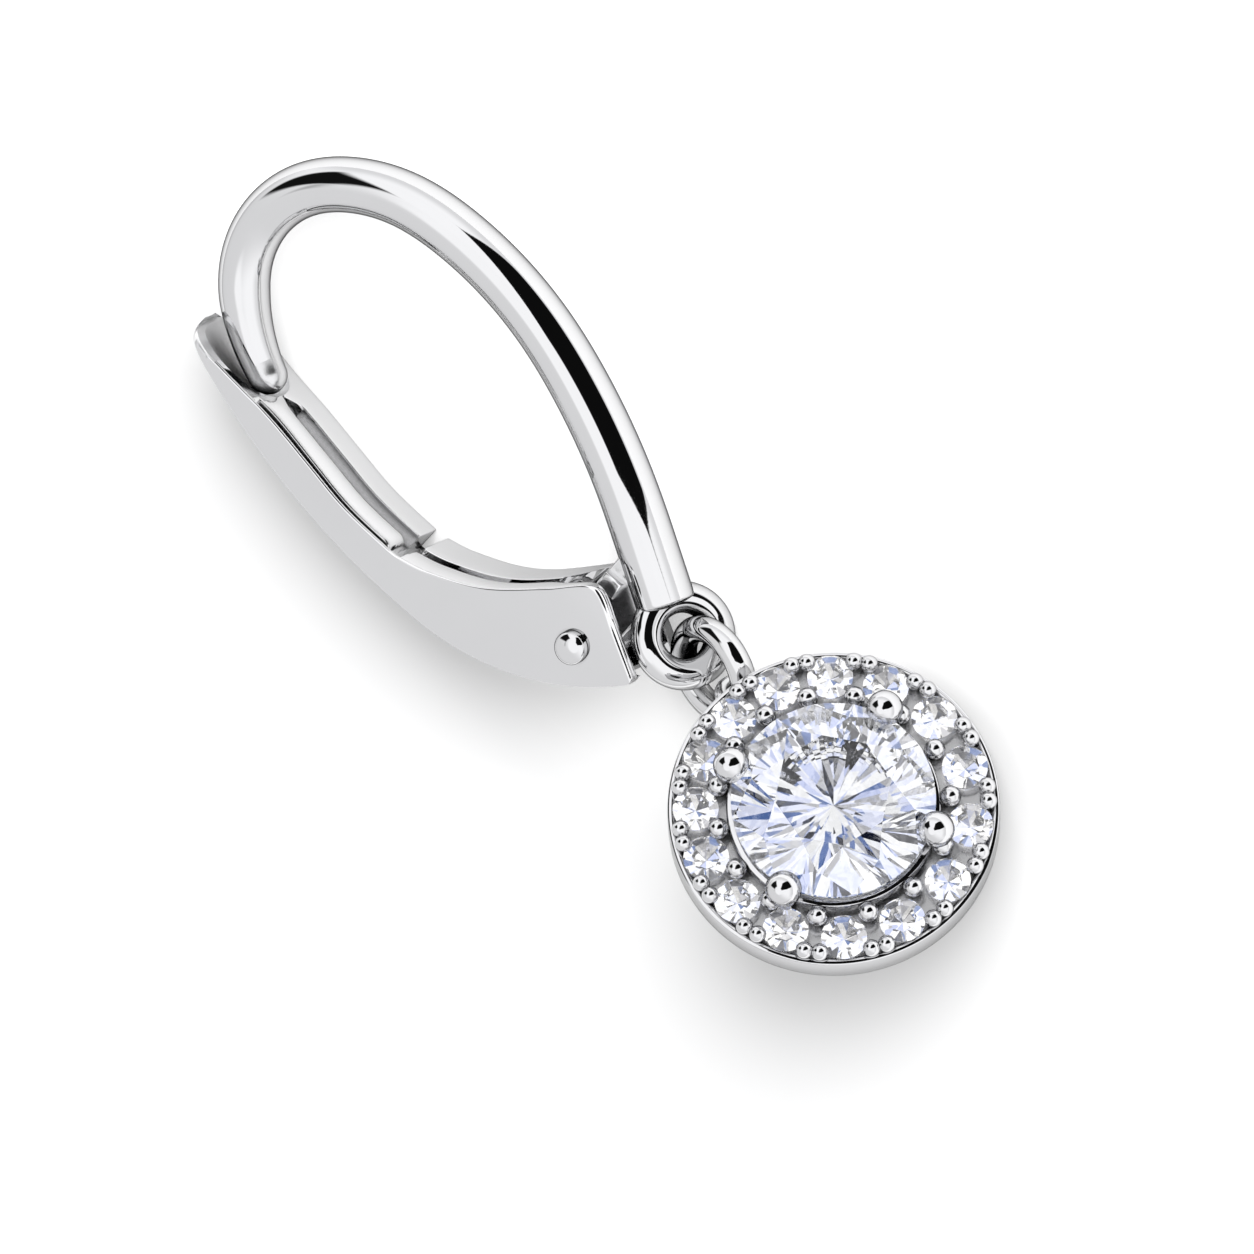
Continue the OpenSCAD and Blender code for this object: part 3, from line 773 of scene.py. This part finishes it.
def make_jump_ring():
    shape = Shape()
    shape.torus(RING_C, RING_N, RING_R, RING_WIRE_R, 144, 48)
    shape.piece("jump_ring_polished", GOLD, "hook", ["jump_ring"])


# Halo pendant, in its own axes: side, up and out of its face

FACE_C = LOOP_C + np.array([5.991, 1.294, 2.2])
FACE_N = unit([-0.1106, 0.6556, 0.7469])
FACE_UP = unit([-0.755, 0.4335, -0.4923])
FACE_SIDE = np.cross(FACE_UP, FACE_N)
HALO_R, HALO_DEPTH = 4.05, 1.06
HALO_N, ROW_R, HALO_D, CENTRE_D = 15, 3.36, 1.12, 5.0
# a brilliant's proportions, as shares of its diameter
GIRDLE_HALF, TABLE_R, STAR_R, LOW_R = 0.012, 0.29, 0.405, 0.12
CROWN_H, PAVILION_H = 0.145, 0.43
HALO_GIRDLE_Z, CENTRE_GIRDLE_Z = -CROWN_H * HALO_D, 0.37
CENTRE_TURN = 11
# beads and prongs are balls on posts: row radius, height, ball radius, post radius and length
INNER_BEAD = (2.86, -0.05, 0.26, 0.18, 0.6)
OUTER_BEAD = (3.77, -0.08, 0.215, 0.15, 0.55)
PRONG = (2.63, 0.5, 0.45, 0.33, 1.2)
OUTER_BEAD_TURN = 2.9
PRONG_AT = (61.6, -17.9, -117.6, 160.7)
PLATE_TOP = -0.42


def stone_angle(i):
    step = i * 360 / HALO_N
    return 86.6 - step + 5.1 * math.cos(math.radians(step - 20.5))


def bead_angle(i):
    return (stone_angle(i) + stone_angle(i + 1)) / 2


def on_face(r, deg, z):
    a = math.radians(deg)
    return FACE_C + r * math.cos(a) * FACE_SIDE + r * math.sin(a) * FACE_UP + z * FACE_N


def add_ball(shape, kind, deg, sides):
    """A bead or a prong at an angle round the face."""
    row_r, height, r, post_r, post_h = kind
    shape.ball(on_face(row_r, deg, height), FACE_N, r, sides, post_r, post_h)


def cut_away(obj, cutter):
    """Subtracts a closed mesh from obj, then removes it."""
    cut = obj.modifiers.new("cut", "BOOLEAN")
    cut.operation = "DIFFERENCE"
    cut.solver = "EXACT"
    cut.object = cutter
    bpy.context.view_layer.objects.active = obj
    bpy.ops.object.modifier_apply(modifier=cut.name)
    bpy.data.objects.remove(cutter, do_unlink=True)


def on_outer_wall(centre, normal):
    """Picks the outer wall of the setting, which gets painted shade."""
    out = centre - FACE_C
    flat = out - out.dot(FACE_N) * FACE_N
    return np.linalg.norm(flat) > HALO_R - 0.03 and abs(normal.dot(FACE_N)) < 0.7


def on_plate(centre, normal):
    """Picks the plate between the stones."""
    return normal.dot(FACE_N) > 0.9 and abs((centre - FACE_C).dot(FACE_N) - PLATE_TOP) < 0.03


def make_halo_setting():
    """The pendant's metal: a lathed body with the small stones' seats cut out, and its trim."""
    body = Shape()
    profile = [(HALO_R, -1.0), (4.035, -1.045), (3.99, -HALO_DEPTH), (2.24, -HALO_DEPTH),
               (2.2, -1.03), (2.2, -0.30), (2.34, -0.12), (2.40, -0.03), (2.44, 0.0), (2.56, 0.0),
               (2.60, -0.02), (2.62, -0.06), (2.62, PLATE_TOP), (3.80, PLATE_TOP),
               (3.86, -0.30), (3.88, -0.24), (3.91, -0.215), (3.95, -0.21), (4.0, -0.215),
               (4.035, -0.235), (HALO_R, -0.28)]
    body.lathe(profile, FACE_C, FACE_N, 256, FACE_SIDE)
    ring = new_piece("halo_setting_cast", body.verts, body.faces, GOLD_CAST)
    outward(ring)
    holes = Shape()
    seat = [(ON_AXIS, -0.85), (0.30, -0.85), (0.53, HALO_GIRDLE_Z - 0.1),
            (0.60, HALO_GIRDLE_Z), (0.60, 0.3), (ON_AXIS, 0.3)]
    for i in range(HALO_N):
        holes.lathe(seat, on_face(ROW_R, stone_angle(i), 0.0), FACE_N, 48, closed_profile=False)
    cutter = new_piece("halo_seats", holes.verts, holes.faces, GOLD_CAST)
    outward(cutter)
    cut_away(ring, cutter)
    # the outer wall gets the darker copy of the metal, painted shade
    repaint(ring, GOLD_WALL_SHADED, on_outer_wall)
    # the plate gets its own copy, with a rougher polish and its own painted shade in its recesses
    repaint(ring, GOLD_PLATE, on_plate)

    trim = Shape()
    for i in range(HALO_N):
        a = bead_angle(i)
        add_ball(trim, INNER_BEAD, a, 36)
        add_ball(trim, OUTER_BEAD, a - OUTER_BEAD_TURN, 36)
        add_ball(trim, OUTER_BEAD, a + OUTER_BEAD_TURN, 36)
    for a in PRONG_AT:
        add_ball(trim, PRONG, a, 64)
    basket = [(2.24, -1.01), (2.5, -1.01), (2.48, -HALO_DEPTH), (1.78, -1.83), (1.72, -1.86),
              (1.54, -1.86), (1.5, -1.83), (1.52, -1.78)]
    trim.lathe(basket, FACE_C, FACE_N, 128, FACE_SIDE)
    rear_eye(trim)
    extra = new_piece("halo_trim", trim.verts, trim.faces, GOLD_CAST)
    outward(extra)
    bpy.ops.object.select_all(action="DESELECT")
    extra.select_set(True)
    ring.select_set(True)
    bpy.context.view_layer.objects.active = ring
    bpy.ops.object.join()
    shade_by_area(ring, 35)
    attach(ring, "hook")
    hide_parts("halo_setting")


def rear_eye(shape):
    """Plain eye behind the halo that the jump ring passes through, and its short neck."""
    eye_r, wire_r = 0.56, 0.17
    neck_row_r, neck_r, neck_flare = 3.7, 0.2, 0.06
    away = FACE_C - RING_C
    way = unit(away - away.dot(RING_N) * RING_N)
    eye_c = RING_C + RING_R * way
    eye_n = np.cross(RING_N, way)
    back_c = FACE_C - (HALO_DEPTH - 0.2) * FACE_N
    back = eye_c - back_c
    back_way = unit(back - back.dot(FACE_N) * FACE_N)
    neck_end = back_c + neck_row_r * back_way
    flat = (neck_end - eye_c) - (neck_end - eye_c).dot(eye_n) * eye_n
    neck_start = eye_c + eye_r * unit(flat)
    shape.torus(eye_c, eye_n, eye_r, wire_r, 64, 24)
    line = neck_end - neck_start
    neck_axis = unit(line)
    u, v = axes_round(neck_axis)
    turn = np.linspace(0, 2 * math.pi, 32, endpoint=False)
    rings = []
    for t in np.linspace(0, 1, 6):
        r = neck_r + neck_flare * t * t
        rings.append(neck_start + t * line
                     + r * (np.cos(turn)[:, None] * u + np.sin(turn)[:, None] * v))
    shape.tube(rings)


# Stones: a round brilliant is a short cylinder cut by the planes of its facets

def brilliant_mesh(name, d, sides, crown_fold, pavilion_fold, full_cut=True):
    """A brilliant's mesh; without full_cut it has its table, bezels and mains alone."""
    r, g = d / 2, GIRDLE_HALF * d
    table_r, crown, pavilion = TABLE_R * d, CROWN_H * d, PAVILION_H * d
    slope = (r - table_r) / (crown - g)
    star_r = STAR_R * d
    star_z = g + (r - star_r * math.cos(math.pi / crown_fold)) / slope
    low_r = LOW_R * d
    low_z = -g - (r - low_r * math.cos(math.pi / pavilion_fold)) * (pavilion - g) / r
    bm = bmesh.new()
    bmesh.ops.create_cone(bm, cap_ends=True, cap_tris=False, segments=sides, radius1=r,
                          radius2=r, depth=2 * pavilion)

    def polar(radius, deg, z):
        a = math.radians(deg)
        return Vector((radius * math.cos(a), radius * math.sin(a), z))

    def cut(a, b, c):
        n = (b - a).cross(c - a).normalized()
        if n.dot(a) < 0:
            n = -n
        geom = bm.verts[:] + bm.edges[:] + bm.faces[:]
        done = bmesh.ops.bisect_plane(bm, geom=geom, plane_co=a, plane_no=n, clear_outer=True)
        edges = [e for e in done["geom_cut"] if isinstance(e, bmesh.types.BMEdge)]
        if edges:
            bmesh.ops.contextual_create(bm, geom=edges)

    cut(Vector((0, 0, crown)), Vector((1, 0, crown)), Vector((0, 1, crown)))
    step = 360 / crown_fold
    half = step / 2
    for i in range(crown_fold):
        a = step * i
        cut(polar(r, a, g), polar(star_r, a + half, star_z), polar(star_r, a - half, star_z))
    for i in range(crown_fold if full_cut else 0):
        a = step * i
        cut(polar(table_r, a, crown), polar(table_r, a + step, crown),
            polar(star_r, a + half, star_z))
        for way in (half, -half):
            cut(polar(r, a, g), polar(r, a + way, g), polar(star_r, a + way, star_z))
    step = 360 / pavilion_fold
    half = step / 2
    for i in range(pavilion_fold):
        a = step * i
        cut(polar(r, a, -g), polar(low_r, a + half, low_z), Vector((0, 0, -pavilion)))
    for i in range(pavilion_fold if full_cut else 0):
        a = step * i
        for way in (half, -half):
            cut(polar(r, a, -g), polar(r, a + way, -g), polar(low_r, a + way, low_z))
    bmesh.ops.remove_doubles(bm, verts=bm.verts[:], dist=d * 1e-5)
    bmesh.ops.recalc_face_normals(bm, faces=bm.faces[:])
    mesh = bpy.data.meshes.new(name)
    bm.to_mesh(mesh)
    bm.free()
    return mesh


def place_stone(name, mesh, material, centre, turn_deg, nodes):
    """A copy of a stone's mesh with its table facing out of the pendant."""
    a = math.radians(turn_deg)
    x = math.cos(a) * FACE_SIDE + math.sin(a) * FACE_UP
    y = np.cross(FACE_N, x)
    at = to_metres(centre)
    rows = [[x[k] * MM, y[k] * MM, FACE_N[k] * MM, at[k]] for k in range(3)]
    place = Matrix(rows + [[0, 0, 0, 1]])
    data = mesh.copy()
    data.name = name
    data.transform(place)
    data.materials.append(material)
    obj = in_scene(name, data)
    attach(obj, "hook")
    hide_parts(*nodes)


def make_stones():
    big = brilliant_mesh("centre_cut", CENTRE_D, 128, 8, 16)
    place_stone("centre_brilliant", big, STONE_BIG, on_face(0, 0, CENTRE_GIRDLE_Z), CENTRE_TURN,
                ["centre_stone"])
    small = brilliant_mesh("halo_cut", HALO_D, 64, 8, 8, full_cut=False)
    for i in range(HALO_N):
        name = f"halo_brilliant_{i + 1:02d}"
        place_stone(name, small, STONE_SMALL, on_face(ROW_R, stone_angle(i), HALO_GIRDLE_Z),
                    stone_angle(i), [f"halo_stone_{i + 1:02d}"])


# Camera: the photograph's viewing angle

CAM_RIGHT = Vector((0.6479, 0.6085, -0.4582)).normalized()
CAM_BACK = Vector((0.157, 0.482, 0.862)).normalized()
CAM_AIM = Vector((1.595, -0.171, 2.086)) * MM
CAM_DISTANCE = 1.275
CAM_LENS, CAM_SENSOR = 1500.0, 36.0


def make_camera():
    data = bpy.data.cameras.new("camera")
    data.lens = CAM_LENS
    data.sensor_width = CAM_SENSOR
    data.sensor_height = CAM_SENSOR
    data.sensor_fit = "HORIZONTAL"
    data.clip_start = 0.005
    data.clip_end = 10.0
    cam = in_scene("camera", data)
    up = CAM_BACK.cross(CAM_RIGHT).normalized()
    right = up.cross(CAM_BACK).normalized()
    spot = CAM_AIM + CAM_DISTANCE * CAM_BACK
    cam.matrix_world = Matrix([[right[k], up[k], CAM_BACK[k], spot[k]] for k in range(3)]
                              + [[0, 0, 0, 1]])
    bpy.context.scene.camera = cam


# Studio: a white floor, one large soft light and a surround of white cards with two dark flags

EXPOSURE = 1.25
# brightness of the surround's parts, before the exposure
BACK_LEVEL, FRONT_LEVEL, LOW_FRONT_LEVEL = 0.68, 0.96, 0.72
HORIZON_LEVEL, OVERHEAD_LEVEL, DIP_LEVEL = 0.56, 0.95, 0.42
FLAG_LEVEL, FLAG2_LEVEL = 0.004, 0.006
# where the dip and the flags stand, in degrees of azimuth and elevation
DIP_AZ, DIP_EL = (-152, -128), (56, 60)
FLAG_MID_EL, FLAG_HALF_EL = 39.0, 35.0
FLAG2_AZ, FLAG2_EL = (-16, 26), (22, 60)
CARD_SCALE, CARD_STRENGTH = 9.5, 1.2
FILL_STRENGTH = 0.97


def patch_node(nodes, links, az, el, az_range, el_range, soft_az, soft_el):
    """1 inside a box of azimuth and elevation in degrees, with soft sides."""
    parts = [edge_node(nodes, links, az, az_range[0] - soft_az, az_range[0] + soft_az),
             edge_node(nodes, links, az, az_range[1] + soft_az, az_range[1] - soft_az),
             edge_node(nodes, links, el, el_range[0] - soft_el, el_range[0] + soft_el),
             edge_node(nodes, links, el, el_range[1] + soft_el, el_range[1] - soft_el)]
    out = parts[0]
    for p in parts[1:]:
        out = math_node(nodes, links, "MULTIPLY", out, p)
    return out


def make_world():
    world = bpy.data.worlds.new("studio")
    bpy.context.scene.world = world
    world.use_nodes = True
    nodes, links = world.node_tree.nodes, world.node_tree.links
    nodes.clear()
    coord = nodes.new("ShaderNodeTexCoord")
    split = nodes.new("ShaderNodeSeparateXYZ")
    links.new(coord.outputs["Generated"], split.inputs[0])
    x, y, z = split.outputs

    def maths(kind, a, b=None):
        return math_node(nodes, links, kind, a, b)

    def edge(value, start, end):
        return edge_node(nodes, links, value, start, end)

    def mix(low, high, share):
        gap = maths("SUBTRACT", high, low)
        return maths("ADD", low, maths("MULTIPLY", gap, share))

    degree = 180 / math.pi
    az = maths("MULTIPLY", maths("ARCTAN2", y, x), degree)
    turned = maths("ARCTAN2", maths("MULTIPLY", y, -1.0), maths("MULTIPLY", x, -1.0))
    az_back = maths("MULTIPLY", turned, degree)
    el = maths("MULTIPLY", maths("ARCSINE", z), degree)

    # bright on the +Y side but for a low band, softer grey behind, darker along the horizon there
    level = mix(BACK_LEVEL, FRONT_LEVEL, edge(y, -0.55, 0.25))
    low_front = maths("MULTIPLY", edge(y, -0.1, 0.4), edge(el, 30.0, 6.0))
    level = mix(level, LOW_FRONT_LEVEL, low_front)
    horizon = maths("MULTIPLY", edge(y, 0.1, -0.6), edge(el, 14.0, 4.0))
    level = mix(level, HORIZON_LEVEL, horizon)
    level = mix(level, OVERHEAD_LEVEL, edge(el, 64.0, 72.0))
    dip = patch_node(nodes, links, az, el, DIP_AZ, DIP_EL, 6.0, 2.0)
    level = mix(level, DIP_LEVEL, dip)
    # the first flag narrows to a point at both ends
    tall = maths("MULTIPLY", edge(az, 57.6, 64.0), edge(az, 122.0, 100.0))
    tall = maths("MULTIPLY", tall, FLAG_HALF_EL)
    off = maths("ABSOLUTE", maths("SUBTRACT", el, FLAG_MID_EL))
    room = maths("SUBTRACT", tall, off)
    level = mix(level, FLAG_LEVEL, edge(room, -0.5, 2.5))
    # the second flag stands across the azimuth's seam, so it is placed on the turned azimuth
    flag2 = patch_node(nodes, links, az_back, el, FLAG2_AZ, FLAG2_EL, 4.0, 3.0)
    level = mix(level, FLAG2_LEVEL, flag2)
    level = maths("MULTIPLY", level, EXPOSURE)

    grey = nodes.new("ShaderNodeBackground")
    links.new(level, grey.inputs["Strength"])
    grey.inputs["Color"].default_value = (0.985, 0.987, 1.0, 1.0)

    # what the stones break up: small white, lavender, blue and dark cards
    cards = nodes.new("ShaderNodeTexVoronoi")
    cards.inputs["Scale"].default_value = CARD_SCALE
    links.new(coord.outputs["Generated"], cards.inputs["Vector"])
    pick = nodes.new("ShaderNodeSeparateColor")
    links.new(cards.outputs["Color"], pick.inputs[0])
    tones = nodes.new("ShaderNodeValToRGB")
    tones.color_ramp.interpolation = "CONSTANT"
    # where each tone starts, and the tone
    rows = [(0.0, (1.0, 1.0, 1.0)), (0.30, (0.78, 0.81, 0.97)), (0.48, (0.53, 0.59, 0.86)),
            (0.60, (0.46, 0.46, 0.48)), (0.70, (0.10, 0.17, 0.40)), (0.84, (0.006, 0.008, 0.02))]
    while len(tones.color_ramp.elements) < len(rows):
        tones.color_ramp.elements.new(0.5)
    for element, (place, colour) in zip(tones.color_ramp.elements, rows):
        element.position = place
        element.color = colour + (1.0,)
    links.new(pick.outputs[0], tones.inputs["Fac"])
    glow = nodes.new("ShaderNodeBackground")
    glow.inputs["Strength"].default_value = CARD_STRENGTH
    links.new(tones.outputs["Color"], glow.inputs["Color"])

    # matt surfaces get an even light grey, and the view behind everything is plain white
    fill = nodes.new("ShaderNodeBackground")
    fill.inputs["Strength"].default_value = FILL_STRENGTH
    paper = nodes.new("ShaderNodeBackground")
    paper.inputs["Color"].default_value = (1.0, 1.0, 1.0, 1.0)
    paper.inputs["Strength"].default_value = 1.0
    path = nodes.new("ShaderNodeLightPath")

    def seen_by(ray, others, own):
        """What that kind of ray sees of its own, over what the others see."""
        node = nodes.new("ShaderNodeMixShader")
        links.new(path.outputs[ray], node.inputs["Fac"])
        links.new(others.outputs[0], node.inputs[1])
        links.new(own.outputs[0], node.inputs[2])
        return node

    sky = seen_by("Is Transmission Ray", grey, glow)
    sky = seen_by("Is Diffuse Ray", sky, fill)
    sky = seen_by("Is Camera Ray", sky, paper)
    out = nodes.new("ShaderNodeOutputWorld")
    links.new(sky.outputs[0], out.inputs["Surface"])


SUN_FROM = Vector((-0.131, 0.774, 0.624))
SUN_STRENGTH, SUN_SPREAD_DEG = 3.0, 52.0


def make_light():
    data = bpy.data.lights.new("soft_light", "SUN")
    data.energy = SUN_STRENGTH
    data.angle = math.radians(SUN_SPREAD_DEG)
    light = in_scene("soft_light", data)
    light.rotation_euler = SUN_FROM.to_track_quat("Z", "Y").to_euler()
    light.visible_glossy = False
    light.visible_transmission = False


# The paper's two tones, its tone where seen directly, and the region and strength of a painted
# glow, an emission in the paper by place that washes it out to white. Lengths here are in metres.
PAPER_LOW, PAPER_HIGH = (0.925, 0.925, 0.927, 1.0), (0.935, 0.935, 0.937, 1.0)
PAPER_SEEN = (0.90, 0.90, 0.902, 1.0)
PAINTED_GLOW_Y0, PAINTED_GLOW_Y1 = -0.0062, -0.0010
PAINTED_GLOW_X0, PAINTED_GLOW_X1 = -0.002, 0.011
PAINTED_GLOW_STRENGTH = 0.55
FLOOR_HALF = 0.6


def make_floor():
    mat, nodes, links, bsdf = node_material("paper_floor")
    bsdf.inputs["Roughness"].default_value = 1.0
    bsdf.inputs["Specular IOR Level"].default_value = 0.0
    grain = noise(nodes, links, scale=4000.0)
    tone = ramp_of(nodes, links, grain.outputs["Fac"], PAPER_LOW, PAPER_HIGH)
    # seen directly, the paper takes the soft shadows, and past the lever a painted glow washes it
    # out to white
    path = nodes.new("ShaderNodeLightPath")
    direct = nodes.new("ShaderNodeMix")
    direct.data_type = "RGBA"
    links.new(path.outputs["Is Camera Ray"], direct.inputs["Factor"])
    links.new(tone.outputs["Color"], direct.inputs["A"])
    direct.inputs["B"].default_value = PAPER_SEEN
    links.new(direct.outputs["Result"], bsdf.inputs["Base Color"])
    where = nodes.new("ShaderNodeTexCoord")
    split = nodes.new("ShaderNodeSeparateXYZ")
    links.new(where.outputs["Object"], split.inputs[0])
    # painted light: the paper glows where it is seen directly, by its place on the floor
    paper_glow = edge_node(nodes, links, split.outputs[1], PAINTED_GLOW_Y0, PAINTED_GLOW_Y1)
    paper_glow = math_node(nodes, links, "MULTIPLY", paper_glow,
                      edge_node(nodes, links, split.outputs[0], PAINTED_GLOW_X1, PAINTED_GLOW_X0))
    paper_glow = math_node(nodes, links, "MULTIPLY", paper_glow, path.outputs["Is Camera Ray"])
    bsdf.inputs["Emission Color"].default_value = (1.0, 1.0, 1.0, 1.0)
    links.new(math_node(nodes, links, "MULTIPLY", paper_glow, PAINTED_GLOW_STRENGTH),
              bsdf.inputs["Emission Strength"])
    corners = [(x * FLOOR_HALF, y * FLOOR_HALF, 0) for x, y in ((-1, -1), (1, -1), (1, 1), (-1, 1))]
    mesh = bpy.data.meshes.new("floor")
    mesh.from_pydata(corners, [], [(0, 1, 2, 3)])
    mesh.materials.append(mat)
    floor = in_scene("floor", mesh)


def set_look():
    scene = bpy.context.scene
    scene.view_settings.view_transform = "Standard"
    scene.view_settings.look = "None"
    scene.cycles.max_bounces = 20
    scene.cycles.glossy_bounces = 10
    scene.cycles.transmission_bounces = 16
    scene.cycles.diffuse_bounces = 3
    scene.cycles.use_denoising = True
    scene.cycles.caustics_refractive = False
    scene.cycles.caustics_reflective = False


make_camera()
make_world()
make_light()
make_floor()
make_ear_wire()
make_lever()
make_rivet()
make_jump_ring()
make_halo_setting()
make_stones()
set_look()
